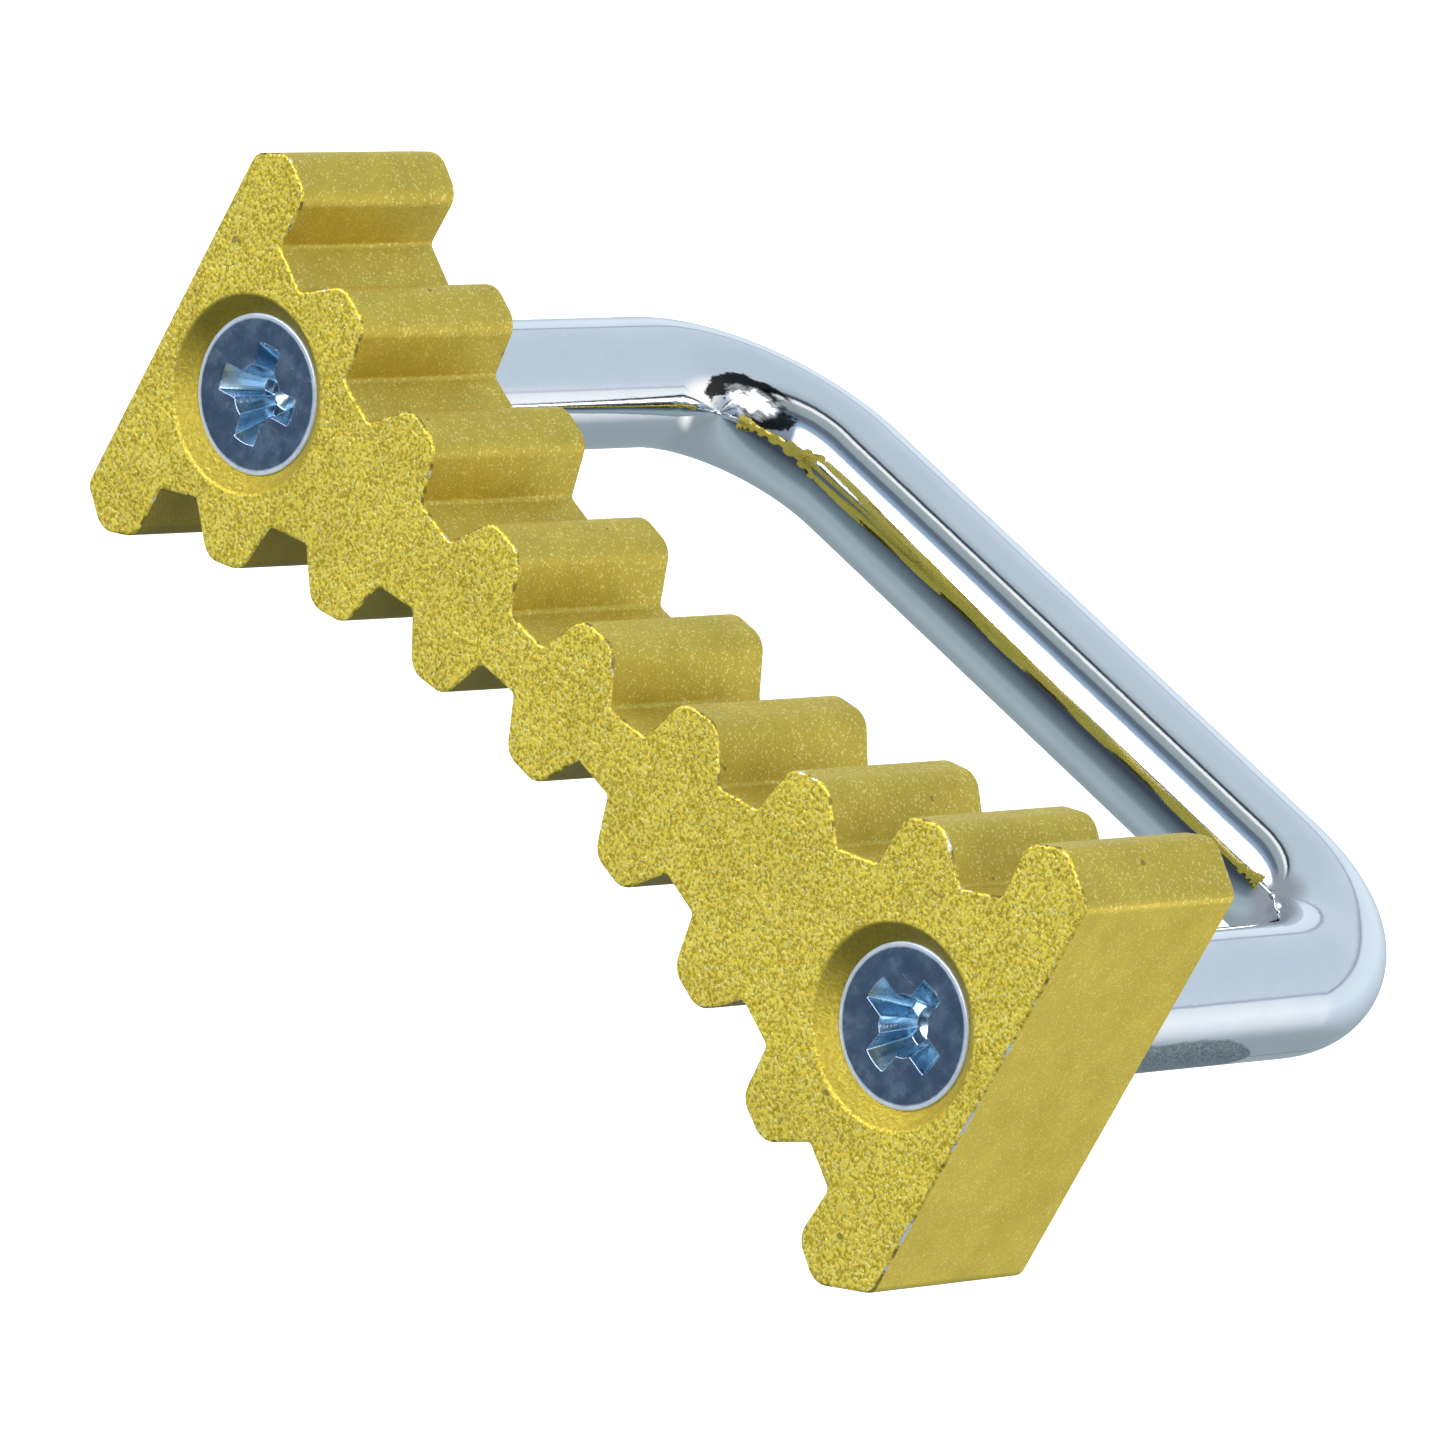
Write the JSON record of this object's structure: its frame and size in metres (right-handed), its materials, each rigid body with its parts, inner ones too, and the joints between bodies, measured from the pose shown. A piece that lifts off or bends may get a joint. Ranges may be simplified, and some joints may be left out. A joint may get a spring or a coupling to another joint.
{
  "type": "foot peg",
  "caption": "Foot peg with a long toothed aluminium tread plate, carried on the two legs of a chromed round bar bent to a U and held by countersunk screws.",
  "frame": {"origin": "middle of the U-bar's cross portion, on the bar's axis", "axes": "+X along the plate's long axis to its wider end, +Z the way the upper teeth point, -Y the way the screw heads face"},
  "size_m": [0.09, 0.0584, 0.0371],
  "materials": {
    "gold_anodised": "bead-blasted, gold anodised",
    "chrome": "bright chrome plate",
    "zinc": "bright blue-white zinc plate"
  },
  "bodies": {
    "root": {"toothed_plate": "gold_anodised", "u_bar": "chrome", "screw_left": "zinc", "screw_right": "zinc"}
  },
  "joints": []
}
